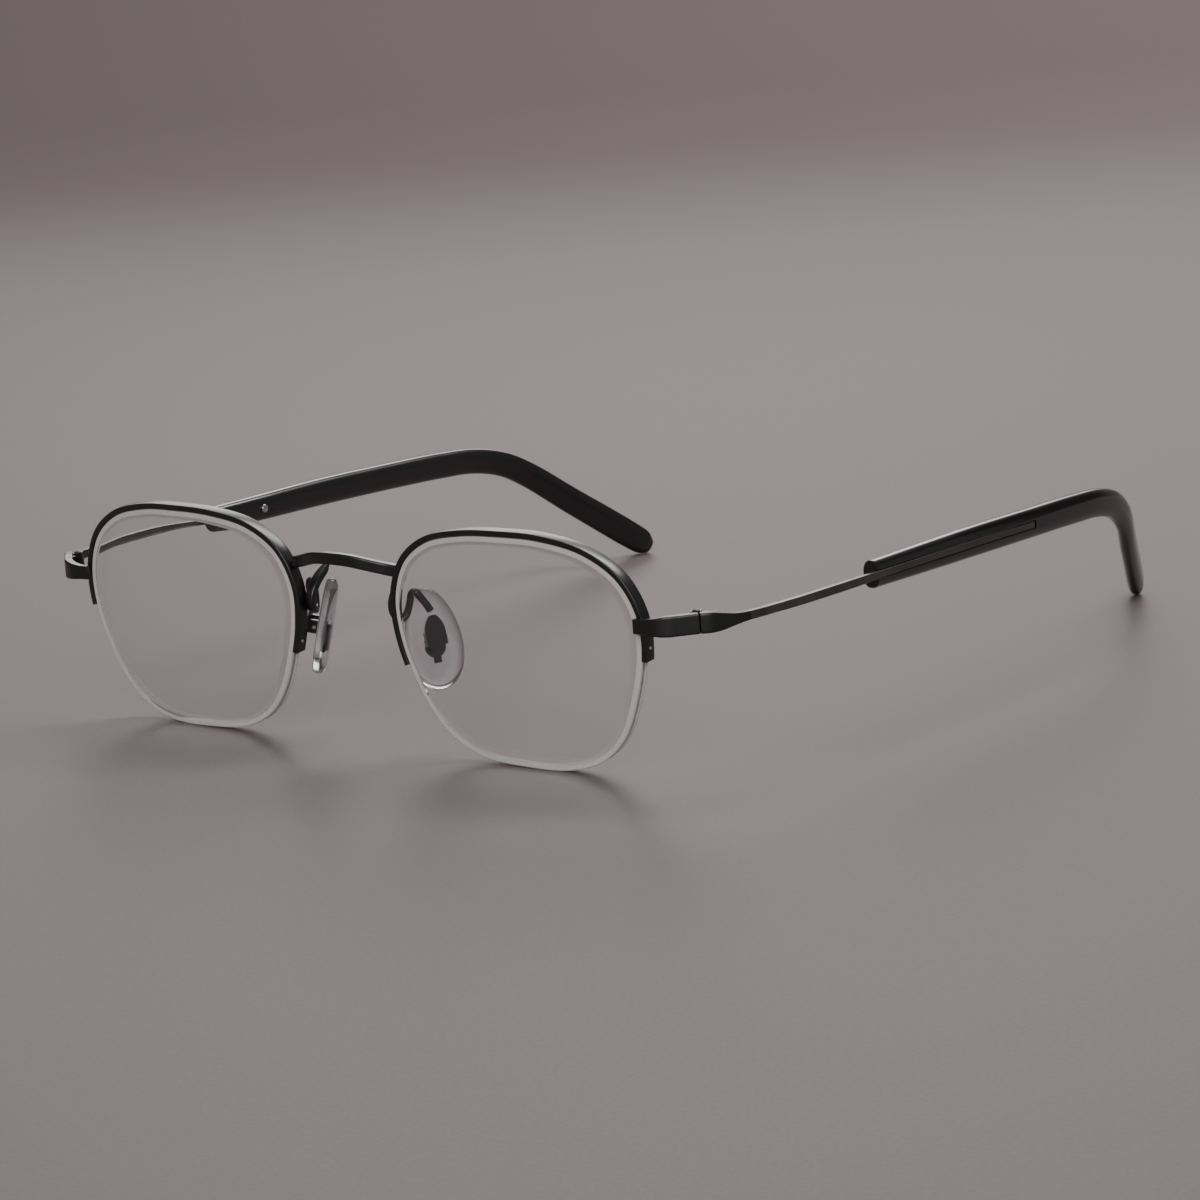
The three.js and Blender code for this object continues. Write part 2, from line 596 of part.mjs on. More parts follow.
function mirroredGeometry(geometry) {
  const copy = geometry.clone().scale(-1, 1, 1);
  const plain = copy.index ? copy : mergeVertices(copy);
  plain.setIndex(flipped(plain.index.array));
  return plain;
}

function mirrored(object) {
  const copy = object.isMesh
    ? mesh(object.name.replace('left', 'right'), mirroredGeometry(object.geometry), object.material)
    : new THREE.Group();
  const { x, y, z, w } = object.quaternion;
  copy.position.set(-object.position.x, object.position.y, object.position.z);
  copy.quaternion.set(x, -y, -z, w);
  for (const child of object.children) copy.add(mirrored(child));
  return copy;
}

const glasses = new THREE.Group();
glasses.name = 'half_rim_eyeglasses';
const left = leftHalf();
glasses.add(mesh('bridge', bridgeGeometry(), MATERIALS.blackMetal), left, mirrored(left));

// The origin is the middle of the base of the bounding box.
glasses.updateMatrixWorld(true);
const bounds = new THREE.Box3().setFromObject(glasses, true);
glasses.position.set(0, -(bounds.min.y + bounds.max.y) / 2, -bounds.min.z);
glasses.updateMatrixWorld(true);

export default glasses;
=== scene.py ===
"""Looks of the half rim eyeglasses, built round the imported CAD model.

Shapes are worked out in millimetres in the drawing frame, where the lens fronts stand at y = 0.
`place` turns them into metres in the row frame. The left half (+X) is drawn, and the right half mirrors it.
"""

import math

import bpy
import numpy as np
from mathutils import Matrix, Vector


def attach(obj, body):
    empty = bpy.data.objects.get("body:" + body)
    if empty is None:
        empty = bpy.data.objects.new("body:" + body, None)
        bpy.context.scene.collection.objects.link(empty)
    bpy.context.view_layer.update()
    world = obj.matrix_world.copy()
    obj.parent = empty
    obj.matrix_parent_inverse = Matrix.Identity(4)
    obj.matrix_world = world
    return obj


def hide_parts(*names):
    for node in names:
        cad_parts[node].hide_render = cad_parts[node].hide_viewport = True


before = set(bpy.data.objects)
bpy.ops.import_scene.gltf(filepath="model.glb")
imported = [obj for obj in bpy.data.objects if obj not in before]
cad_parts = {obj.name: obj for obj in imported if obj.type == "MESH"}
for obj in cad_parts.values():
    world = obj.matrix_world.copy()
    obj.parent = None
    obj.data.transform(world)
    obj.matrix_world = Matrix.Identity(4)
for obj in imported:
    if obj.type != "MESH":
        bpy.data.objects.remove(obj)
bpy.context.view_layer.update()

# ---- Driving dimensions, in mm ----

MM = 0.001
ROW_SHIFT = np.array([0.0, -76.214, -0.2474])  # from the drawing frame to the row frame
TILT = math.radians(5.6)
WRAP = math.radians(1.65)
GAP = 0.1

LENS_CENTRE = (34, 0, 19.3)
LENS_THICKNESS = 2.0
LENS_RADIUS = 90.0
LENS_OUTLINE = [
    (23, 0), (22.8, 6), (20, 11.5), (14.5, 15.3), (7, 17.1), (0, 17.4),
    (-8, 17), (-15.4, 15.3), (-20.6, 11.6), (-23.1, 6), (-22.9, 0), (-21.2, -5.8),
    (-18.8, -11), (-15.2, -15.4), (-9.5, -18.4), (0, -19.3), (8, -19.1), (13.6, -17.3),
    (18, -13.4), (21, -7.5),
]
GROUND_BAND = 0.8  # the ground band that shows just inside the lens edge, on its front
RIM_WIDTH, RIM_DEPTH, RIM_ROUND = 0.9, 2.2, 0.22
RIM_ENDS = {"nasal": -4.6, "temporal": -0.6}
CORD_RADIUS, CORD_SEAT, CORD_HOLE, CORD_FROM_END, CORD_PROUD = 0.26, -0.31, 0.38, 1.9, 0.15

BRIDGE_DEPTH, BRIDGE_HEIGHT = 1.5, 1.9
BRIDGE_HALF = [(0, -0.3, 31.4), (3.5, 0.1, 31.2), (7, 1.5, 30.35), (9.3, 2.65, 29.75), (10.75, 3.1, 29.5)]

# Lofted pieces: x, y, z, thickness across, height.
ENDPIECE = [
    (56.9, 2.35, 24.6, 0.9, 2.25), (58.4, 2.35, 24.6, 1.1, 2.3), (60.4, 2.5, 24.65, 1.3, 2.7),
    (62.2, 3.3, 24.75, 1.4, 3.1), (63.4, 4.4, 24.8, 1.4, 3.1), (64.5, 5.5, 24.85, 1.4, 3.1),
    (65.6, 6.6, 24.9, 1.4, 3.1),
]
TEMPLE = [
    (65.75, 6.75, 24.9, 1.4, 3.1), (66.9, 7.9, 24.9, 1.4, 3.1), (67.7, 9.2, 24.85, 1.3, 2.7),
    (68.5, 11.2, 24.85, 1.15, 1.9), (69.1, 13.4, 24.9, 1, 1.45), (69.6, 16, 24.95, 1, 1.35),
    (70.2, 20, 25.02, 1, 1.35), (70.8, 25, 25.08, 1, 1.35), (71.2, 32, 25.13, 1, 1.35),
    (71.3, 40, 25.13, 1, 1.3), (71.2, 47, 25.1, 0.9, 1.15), (71.15, 60, 25.05, 0.9, 1.15),
    (71.35, 76, 25, 0.9, 1.15), (71.05, 91.5, 24.7, 0.9, 1.15),
]
TIP = [
    (69.9, 45.8, 25.02, 2.9, 4.3), (69.9, 58, 25, 3.2, 4.6), (70.05, 75, 25, 3.3, 4.9),
    (69.8, 92, 24.75, 3.3, 4.9), (69.25, 107, 24.4, 3.2, 4.9), (68.5, 116.5, 23.8, 3.1, 4.8),
    (67.3, 124, 22, 3, 4.8),
    (65.7, 129.8, 18.9, 2.9, 4.9), (62.2, 137.3, 13.1, 2.9, 5.1), (58.6, 144.8, 7.4, 2.9, 5.3),
    (56.6, 149, 4.2, 2.9, 5.2), (55.5, 151.4, 2.4, 2.6, 4.6), (54.95, 152.6, 1.5, 1.5, 2.8),
]
PAD_ARM = [
    (8.5, 8.3, 28.6, 0.7, 0.5), (8.5, 7.2, 27.6, 1.2, 1.4), (8.55, 5.2, 26, 1.3, 1.7),
    (8.6, 3.95, 24, 1.3, 1.6),
    (8.8, 4.1, 22.2, 1.2, 1.5), (9.3, 5.3, 21.4, 1.1, 1.3), (9.9, 6.3, 22, 1, 1.1), (10.4, 6.85, 24, 1, 1),
    (10.8, 6.95, 25.4, 1, 1), (11.5, 7.1, 25.7, 1, 1), (12.1, 7.45, 24.8, 1, 1), (12.6, 8.1, 23.6, 1, 1),
    (12.9, 8.65, 22.5, 1, 1),
]
HINGE_CENTRE = Vector((64.45, 7.75, 24.9))
CHANNEL_END, CHANNEL_SPARE, CHANNEL_OPEN = 92.0, 0.12, 2.0
INLAY_FROM = 40
RIVET_Y, RIVET_HEAD, RIVET_SHAFT, RIVET_HEIGHT = 57.6, 0.75, 0.35, 0.35

PAD_CENTRE = Vector((11.6, 10.15, 17.6))
PAD_DOWN = Vector((3.6, -1, -15.3))
PAD_SPLAY = math.radians(35)
PAD_WIDTH, PAD_HEIGHT, PAD_THICKNESS, PAD_NARROWING = 9.0, 16.0, 2.2, 0.14

SIDES = {"left": 1, "right": -1}


# ---- Curves and skins ----

def knot_step(a, b):
    return max(np.linalg.norm((b - a)[:3]), 1e-6) ** 0.5


def spline(points, closed=False):
    """A centripetal Catmull-Rom curve through the points, as a function of 0 to 1. Sizes ride along."""
    pts = np.array(points, float)
    count = len(pts)
    segments = count if closed else count - 1

    def near(i):
        if closed:
            return pts[i % count]
        if i < 0:
            return 2 * pts[0] - pts[1]
        if i >= count:
            return 2 * pts[-1] - pts[-2]
        return pts[i]

    def at(t):
        spot = (t % 1.0 if closed else min(max(t, 0.0), 1.0)) * segments
        i = min(int(spot), segments - 1)
        w = spot - i
        p0, p1, p2, p3 = (near(i + k) for k in (-1, 0, 1, 2))
        d0, d1, d2 = (knot_step(a, b) for a, b in ((p0, p1), (p1, p2), (p2, p3)))
        m1 = ((p1 - p0) / d0 - (p2 - p0) / (d0 + d1) + (p2 - p1) / d1) * d1
        m2 = ((p2 - p1) / d1 - (p3 - p1) / (d1 + d2) + (p3 - p2) / d2) * d1
        square = -3 * p1 + 3 * p2 - 2 * m1 - m2
        cube = 2 * p1 - 2 * p2 + m1 + m2
        return p1 + m1 * w + square * w ** 2 + cube * w ** 3

    return at


def unit(v):
    return v / max(np.linalg.norm(v), 1e-12)


def place(points, side=1, matrix=None):
    """Drawing frame to row frame, in metres."""
    pts = np.asarray(points, float)
    if matrix is not None:
        m = np.array(matrix)
        pts = pts @ m[:3, :3].T + m[:3, 3]
    pts = (pts + ROW_SHIFT) * MM
    return pts * np.array([side, 1, 1])


def signed_volume(points, faces):
    total = 0.0
    for face in faces:
        a = points[face[0]]
        for i in range(1, len(face) - 1):
            total += np.dot(a, np.cross(points[face[i]], points[face[i + 1]]))
    return total


def make_mesh(name, points, faces, materials, slots=None, sharp=40):
    """A closed mesh object, faces outwards, smooth except at edges sharper than `sharp` degrees."""
    points = np.asarray(points, float)
    centred = points - points.mean(axis=0)
    if signed_volume(centred, faces) < 0:
        faces = [tuple(reversed(f)) for f in faces]
    data = bpy.data.meshes.new(name)
    data.from_pydata([tuple(p) for p in points], [], faces)
    for m in materials:
        data.materials.append(m)
    if slots is not None:
        data.polygons.foreach_set("material_index", slots)
    data.polygons.foreach_set("use_smooth", [True] * len(data.polygons))
    data.set_sharp_from_angle(angle=math.radians(sharp))
    data.update()
    obj = bpy.data.objects.new(name, data)
    bpy.context.scene.collection.objects.link(obj)
    return obj


def ring_faces(rings, size, loop=False):
    faces = []
    for r in range(rings if loop else rings - 1):
        for i in range(size):
            j = (i + 1) % size
            a, b = r * size, ((r + 1) % rings) * size
            faces.append((a + i, a + j, b + j, b + i))
    return faces


def skin(rings, loop=False):
    """Points and faces of a skin over equal rings, closed with end faces unless it loops."""
    size = len(rings[0])
    faces = ring_faces(len(rings), size, loop)
    if not loop:
        last = (len(rings) - 1) * size
        faces.append(tuple(range(size))[::-1])
        faces.append(tuple(last + i for i in range(size)))
    return np.concatenate([np.asarray(r) for r in rings]), faces


def rounded_rectangle(corner, steps=5):
    """Half sizes 1 by 1, with corners of that share rounded."""
    out = []
    for k in range(4):
        sx, sy = ((1, 1), (-1, 1), (-1, -1), (1, -1))[k]
        for s in range(steps + 1):
            a = (k + s / steps) * math.pi / 2
            out.append((sx * (1 - corner) + corner * math.cos(a), sy * (1 - corner) + corner * math.sin(a)))
    return np.array(out) / 2


def finer(section, spacing):
    """The same section with points at most about `spacing` apart, so that fine relief can be laid on it."""
    fine = []
    for p, q in zip(section, np.roll(section, -1, axis=0)):
        extra = int(np.linalg.norm(q - p) / spacing)
        fine += [p + (q - p) * k / (extra + 1) for k in range(extra + 1)]
    return np.array(fine)


def broken_edges(obj, width_mm, angle):
    """A small rounding on the edges sharper than the angle."""
    bevel = obj.modifiers.new("broken_edges", "BEVEL")
    bevel.width = width_mm * MM
    bevel.segments = 2
    bevel.limit_method = "ANGLE"
    bevel.angle_limit = math.radians(angle)


def sections(stations, steps, up=(0, 0, 1)):
    """Centre, outward and upward directions and the two sizes at each step along the stations."""
    line = spline(stations)
    up = np.array(up, float)
    result = []
    for i in range(steps + 1):
        t = i / steps
        here = line(t)
        along = unit(line(min(t + 1e-3, 1))[:3] - line(max(t - 1e-3, 0))[:3])
        rise = unit(up - along * np.dot(up, along))
        result.append((t, here[:3], np.cross(rise, along), rise, here[3], here[4]))
    return result


def loft(stations, steps, section, up=(0, 0, 1), relief=None):
    """Rings of the section along the stations. relief(t, section) may move the section's points, in mm."""
    rings = []
    for t, centre, out, rise, across, height in sections(stations, steps, up):
        shape = section * np.array([across, height])
        if relief is not None:
            shape = shape + relief(t, section)
        rings.append(centre + np.outer(shape[:, 0], out) + np.outer(shape[:, 1], rise))
    return rings


def lathe(profile, steps=40):
    """Points and faces of a profile of (radius, height) turned about Z. It starts and ends on the axis."""
    inner = profile[1:-1]
    rings = [[(r * math.cos(2 * math.pi * i / steps), r * math.sin(2 * math.pi * i / steps), z)
              for i in range(steps)] for r, z in inner]
    return skin(rings)


def finish_piece(obj, body, node):
    """Takes the place of the CAD node, and rides with the body."""
    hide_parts(node)
    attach(obj, body)


def cut(obj, *tools):
    """Takes the tools out of obj, and removes them."""
    for tool in tools:
        modifier = obj.modifiers.new("cut", "BOOLEAN")
        modifier.operation = "DIFFERENCE"
        modifier.solver = "EXACT"
        modifier.object = tool
    bpy.context.view_layer.update()
    whole = bpy.data.meshes.new_from_object(obj.evaluated_get(bpy.context.evaluated_depsgraph_get()))
    obj.modifiers.clear()
    obj.data = whole
    for tool in tools:
        bpy.data.objects.remove(tool)
    obj.data.polygons.foreach_set("use_smooth", [True] * len(obj.data.polygons))
    obj.data.set_sharp_from_angle(angle=math.radians(35))
    return obj


def tube_along(points, radius, name, side=1, matrix=None, segments=10):
    """A straight tool or rod between two points."""
    a, b = (np.array(p, float) for p in points)
    along = unit(b - a)
    first = unit(np.cross(along, (0.3, 0.5, 0.8)))
    second = np.cross(along, first)
    turns = [2 * math.pi * i / segments for i in range(segments)]
    ring = np.array([first * math.cos(t) + second * math.sin(t) for t in turns]) * radius
    pts, faces = skin([a + ring, b + ring])
    return make_mesh(name, place(pts, side, matrix), faces, [])


# ---- Materials ----

def new_material(name):
    material = bpy.data.materials.new(name)
    material.use_nodes = True
    nodes = material.node_tree.nodes
    return material, nodes, material.node_tree.links, nodes["Principled BSDF"]


def object_noise(nodes, links, scale, detail=4.0, stretch=(1, 1, 1)):
    """Noise in object coordinates, in features of about 1/scale metres."""
    coords = nodes.new("ShaderNodeTexCoord")
    mapping = nodes.new("ShaderNodeMapping")
    mapping.inputs["Scale"].default_value = stretch
    noise = nodes.new("ShaderNodeTexNoise")
    noise.inputs["Scale"].default_value = scale
    noise.inputs["Detail"].default_value = detail
    links.new(coords.outputs["Object"], mapping.inputs["Vector"])
    links.new(mapping.outputs["Vector"], noise.inputs["Vector"])
    return noise


def ramp(nodes, links, source, low, high, low_at=0.3, high_at=0.7):
    """Maps a texture's value on to a range of greys or colours."""
    node = nodes.new("ShaderNodeValToRGB")
    as_colour = [c if hasattr(c, "__len__") else (c, c, c) for c in (low, high)]
    for element, at, c in zip(node.color_ramp.elements, (low_at, high_at), as_colour):
        element.position = at
        element.color = (*c, 1)
    links.new(source, node.inputs["Fac"])
    return node.outputs["Color"]


def bump(nodes, links, source, target, strength, distance):
    node = nodes.new("ShaderNodeBump")
    node.inputs["Strength"].default_value = strength
    node.inputs["Distance"].default_value = distance
    links.new(source, node.inputs["Height"])
    links.new(node.outputs["Normal"], target.inputs["Normal"])


def black_metal():
    """Satin black lacquer: fine orange peel, faint rubbed patches, slightly lighter where it is worn."""
    material, nodes, links, shader = new_material("black_metal")
    patches = object_noise(nodes, links, 260, 5)
    peel = object_noise(nodes, links, 5200, 2)
    links.new(ramp(nodes, links, patches.outputs["Fac"], (0.0055, 0.0055, 0.006), (0.01, 0.0095, 0.0095)),
              shader.inputs["Base Color"])
    links.new(ramp(nodes, links, patches.outputs["Fac"], 0.27, 0.36), shader.inputs["Roughness"])
    shader.inputs["Specular IOR Level"].default_value = 0.75
    shader.inputs["Coat Weight"].default_value = 0.35
    shader.inputs["Coat Roughness"].default_value = 0.22
    bump(nodes, links, peel.outputs["Fac"], shader, 0.08, 0.00002)
    return material


def gunmetal():
    """Drawn wire: dark polished metal with fine streaks along it."""
    material, nodes, links, shader = new_material("gunmetal")
    streaks = object_noise(nodes, links, 2600, 3, (1, 0.02, 1))
    patches = object_noise(nodes, links, 180, 4)
    links.new(ramp(nodes, links, patches.outputs["Fac"], (0.14, 0.138, 0.13), (0.2, 0.197, 0.19)),
              shader.inputs["Base Color"])
    links.new(ramp(nodes, links, streaks.outputs["Fac"], 0.24, 0.36), shader.inputs["Roughness"])
    shader.inputs["Metallic"].default_value = 0.92
    bump(nodes, links, streaks.outputs["Fac"], shader, 0.15, 0.00002)
    return material


def polished_steel():
    material, nodes, links, shader = new_material("steel")
    wear = object_noise(nodes, links, 1500, 4)
    links.new(ramp(nodes, links, wear.outputs["Fac"], (0.62, 0.62, 0.63), (0.78, 0.78, 0.79)),
              shader.inputs["Base Color"])
    links.new(ramp(nodes, links, wear.outputs["Fac"], 0.14, 0.26), shader.inputs["Roughness"])
    shader.inputs["Metallic"].default_value = 1.0
    return material


def acetate():
    """Polished black acetate: deep gloss, faint waves left by the polishing wheel, small hairlines."""
    material, nodes, links, shader = new_material("acetate")
    waves = object_noise(nodes, links, 90, 2)
    hairlines = object_noise(nodes, links, 700, 4, (1, 0.15, 1))
    links.new(ramp(nodes, links, waves.outputs["Fac"], (0.003, 0.003, 0.0034), (0.0055, 0.0052, 0.0052)),
              shader.inputs["Base Color"])
    links.new(ramp(nodes, links, hairlines.outputs["Fac"], 0.16, 0.22), shader.inputs["Roughness"])
    shader.inputs["Specular IOR Level"].default_value = 0.75
    shader.inputs["Coat Weight"].default_value = 0.6
    shader.inputs["Coat Roughness"].default_value = 0.1
    bump(nodes, links, waves.outputs["Fac"], shader, 0.06, 0.0001)
    return material


def clear_lens():
    """Clear hard lens with a faint unevenness from wiping."""
    material, nodes, links, shader = new_material("lens")
    smudges = object_noise(nodes, links, 60, 3)
    shader.inputs["Base Color"].default_value = (0.985, 0.99, 0.988, 1)
    links.new(ramp(nodes, links, smudges.outputs["Fac"], 0.0, 0.02), shader.inputs["Roughness"])
    shader.inputs["Transmission Weight"].default_value = 1.0
    shader.inputs["IOR"].default_value = 1.5
    shader.inputs["Specular IOR Level"].default_value = 0.3
    return material


def ground_edge():
    """The ground edge of the lens: frosted, pale, with fine grinding lines."""
    material, nodes, links, shader = new_material("lens_edge")
    lines = object_noise(nodes, links, 2400, 4)
    links.new(ramp(nodes, links, lines.outputs["Fac"], (0.93, 0.91, 0.87), (0.99, 0.98, 0.95)),
              shader.inputs["Base Color"])
    links.new(ramp(nodes, links, lines.outputs["Fac"], 0.35, 0.55), shader.inputs["Roughness"])
    bump(nodes, links, lines.outputs["Fac"], shader, 0.2, 0.00002)
    return material


def nylon():
    material, nodes, links, shader = new_material("nylon")
    cloud = object_noise(nodes, links, 900, 3)
    links.new(ramp(nodes, links, cloud.outputs["Fac"], (0.5, 0.5, 0.48), (0.72, 0.72, 0.7)),
              shader.inputs["Base Color"])
    shader.inputs["Roughness"].default_value = 0.25
    shader.inputs["Transmission Weight"].default_value = 0.35
    return material


def silicone():
    """Clear soft silicone, slightly clouded and dusty."""
    material, nodes, links, shader = new_material("silicone")
    dust = object_noise(nodes, links, 700, 5)
    shader.inputs["Base Color"].default_value = (0.93, 0.95, 0.97, 1)
    links.new(ramp(nodes, links, dust.outputs["Fac"], 0.06, 0.2), shader.inputs["Roughness"])
    shader.inputs["Transmission Weight"].default_value = 1.0
    shader.inputs["IOR"].default_value = 1.41
    shader.inputs["Specular IOR Level"].default_value = 0.6
    bump(nodes, links, dust.outputs["Fac"], shader, 0.08, 0.00003)
    return material


def table_top():
    """Smooth grey table with a soft sheen."""
    material, nodes, links, shader = new_material("table_top")
    grain = object_noise(nodes, links, 1400, 2)
    links.new(ramp(nodes, links, grain.outputs["Fac"], (0.19, 0.155, 0.162), (0.208, 0.17, 0.178)),
              shader.inputs["Base Color"])
    shader.inputs["Roughness"].default_value = 0.5
    shader.inputs["Specular IOR Level"].default_value = 0.2
    return material


MATERIALS = {
    "black_metal": black_metal(),
    "gunmetal": gunmetal(),
    "steel": polished_steel(),
    "acetate": acetate(),
    "lens": clear_lens(),
    "lens_edge": ground_edge(),
    "nylon": nylon(),
    "silicone": silicone(),
}


# ---- Lens edge: local axes x to the temple, y back, z up ----

outline = spline([(u, 0, v) for u, v in LENS_OUTLINE], closed=True)
OUTLINE_SAMPLES = 1600
_raw = np.array([outline(i / OUTLINE_SAMPLES) for i in range(OUTLINE_SAMPLES + 1)])
_lengths = np.concatenate([[0], np.cumsum(np.linalg.norm(np.diff(_raw, axis=0), axis=1))])
OUTLINE_LENGTH = _lengths[-1]


def front_depth(x, z):
    return (x * x + z * z) / (2 * LENS_RADIUS)


def edge_point(arc, out, depth):
    """A point at that share of the outline's length, `out` outside the edge and `depth` behind its front."""
    at = np.interp((arc % 1) * OUTLINE_LENGTH, _lengths, np.arange(OUTLINE_SAMPLES + 1) / OUTLINE_SAMPLES)
    p = outline(at)
    along = unit(outline(at + 2e-4) - outline(at - 2e-4))
    return np.array([p[0] + out * along[2], front_depth(p[0], p[2]) + depth, p[2] - out * along[0]])


def arc_at_height(height, side):
    """The arc share where the outline passes a height, on the temple side (+1) or the nose side (-1)."""
    shares = np.arange(OUTLINE_SAMPLES) / OUTLINE_SAMPLES
    points = np.array([edge_point(s, 0, 0) for s in shares])
    misses = np.where(points[:, 0] * side > 10, np.abs(points[:, 2] - height), np.inf)
    return shares[int(np.argmin(misses))]


RIM_START = arc_at_height(RIM_ENDS["temporal"], 1)
RIM_FROM = RIM_START - 1 if RIM_START > 0.5 else RIM_START
RIM_TO = arc_at_height(RIM_ENDS["nasal"], -1)
HOLE_ARC = CORD_FROM_END / OUTLINE_LENGTH
LENS_MATRIX = (Matrix.Translation(Vector(LENS_CENTRE)) @ Matrix.Rotation(WRAP, 4, "Z")
               @ Matrix.Rotation(TILT, 4, "X"))


def lens(side_name, side):
    """A closed clear lens with a pale ground band, wall and cord groove."""
    around, middle = 180, LENS_THICKNESS / 2
    edge = [(-GROUND_BAND, 0), (-0.2, 0), (-0.07, 0.07), (0, 0.2), (0, middle - 0.45), (-0.3, middle - 0.38),
            (-0.55, middle - 0.22), (-0.62, middle), (-0.55, middle + 0.22), (-0.3, middle + 0.38),
            (0, middle + 0.45), (0, LENS_THICKNESS - 0.15), (-0.15, LENS_THICKNESS)]
    border = np.array([edge_point(i / around, 0, 0) for i in range(around)])

    def inner(scale, depth):
        ring = border * scale
        ring[:, 1] = front_depth(ring[:, 0], ring[:, 2]) + depth
        return ring

    scales = (0.12, 0.3, 0.48, 0.66, 0.82, 0.93)
    rings = [inner(s, 0) for s in scales]
    rings += [np.array([edge_point(i / around, out, depth) for i in range(around)]) for out, depth in edge]
    rings += [inner(s, LENS_THICKNESS) for s in reversed(scales)]
    points, faces = skin(rings)
    first, last = len(scales) * around, (len(scales) + len(edge) - 1) * around
    slots = [1 if first <= f < last else 0 for f in range(len(faces))]
    obj = make_mesh(f"clear_lens_{side_name}", place(points, side, LENS_MATRIX), faces,
                    [MATERIALS["lens"], MATERIALS["lens_edge"]], slots, 12)
    finish_piece(obj, "front", f"lens_{side_name}")


def rim_section():
    """A round-cornered C as (out, depth) pairs, open towards the lens."""
    front = (LENS_THICKNESS - RIM_DEPTH) / 2
    back, outer, r = front + RIM_DEPTH, GAP + RIM_WIDTH, RIM_ROUND
    corners = [(outer - r, front + r, -90), (outer - r, back - r, 0)]
    pairs = [(GAP + 0.06, front)]
    for u, d, start in corners:
        for k in range(5):
            a = math.radians(start + 22.5 * k)
            pairs.append((u + r * math.cos(a), d + r * math.sin(a)))
    near, far = LENS_THICKNESS / 2 - 0.4, LENS_THICKNESS / 2 + 0.4
    return pairs + [(GAP + 0.06, back), (GAP, back - 0.06), (GAP, far), (GAP + 0.4, far), (GAP + 0.4, near),
                    (GAP, near), (GAP, front + 0.06)]


def rim(side_name, side):
    """The metal half rim, with a bore near each end for the cord."""
    steps, pairs, middle = 190, rim_section(), LENS_THICKNESS / 2
    rings = [[edge_point(RIM_FROM + (RIM_TO - RIM_FROM) * i / steps, out, depth) for out, depth in pairs]
             for i in range(steps + 1)]
    points, faces = skin(rings)
    obj = make_mesh(f"rim_wire_{side_name}", place(points, side, LENS_MATRIX), faces,
                    [MATERIALS["black_metal"]])
    holes = [tube_along((edge_point(t, GAP, middle), edge_point(t, GAP + RIM_WIDTH + 1, middle)), CORD_HOLE,
                        "hole", side, LENS_MATRIX, 24) for t in (RIM_FROM + HOLE_ARC, RIM_TO - HOLE_ARC)]
    cut(obj, *holes)
    finish_piece(obj, "front", f"rim_{side_name}")


def liner(side_name, side):
    """The strip that seats the lens in the rim's channel."""
    clear, steps, middle = 4 * HOLE_ARC, 120, LENS_THICKNESS / 2
    pairs = [(-0.3, middle - 0.14), (-0.26, middle - 0.18), (0.4, middle - 0.18), (0.4, middle + 0.18),
             (-0.26, middle + 0.18), (-0.3, middle + 0.14)]
    start, end = RIM_FROM + clear, RIM_TO - clear
    rings = [[edge_point(start + (end - start) * i / steps, out, depth) for out, depth in pairs]
             for i in range(steps + 1)]
    points, faces = skin(rings)
    obj = make_mesh(f"groove_liner_{side_name}", place(points, side, LENS_MATRIX), faces,
                    [MATERIALS["nylon"]])
    finish_piece(obj, "front", f"rim_liner_{side_name}")


def nylon_cord(side_name, side):
    """The cord comes in through one rim hole, runs under the lens in its groove and leaves by the other."""
    middle, mm = LENS_THICKNESS / 2, 1 / OUTLINE_LENGTH
    proud = GAP + RIM_WIDTH + CORD_PROUD
    turn_in = [(0, proud, 0.55), (0, proud - 0.06, 0.95), (0, proud - 0.2, 1), (0, 0.5, 1), (0.12, 0.05, 1),
               (0.4, -0.24, 1)]
    first, last, steps = RIM_TO - HOLE_ARC, RIM_FROM + HOLE_ARC + 1, 150
    run = [(edge_point(first + along * mm, out, middle), size) for along, out, size in turn_in]
    for i in range(steps + 1):
        t = first + 0.9 * mm + (last - first - 1.8 * mm) * i / steps
        run.append((edge_point(t, CORD_SEAT, middle), 1))
    run += [(edge_point(last - along * mm, out, middle), size) for along, out, size in reversed(turn_in)]
    centres = [c for c, _ in run]
    rings = []
    for i, (centre, size) in enumerate(run):
        along = unit(centres[min(i + 1, len(centres) - 1)] - centres[max(i - 1, 0)])
        back = unit(np.array([0, 1, 0]) - along * along[1])
        out = np.cross(back, along)
        turns = [2 * math.pi * k / 12 for k in range(12)]
        rings.append([centre + CORD_RADIUS * size * (out * math.cos(a) + back * math.sin(a)) for a in turns])
    points, faces = skin(rings)
    obj = make_mesh(f"cord_{side_name}", place(points, side, LENS_MATRIX), faces, [MATERIALS["nylon"]])
    finish_piece(obj, "front", f"nylon_cord_{side_name}")


# ---- Bridge, endpieces, temples ----

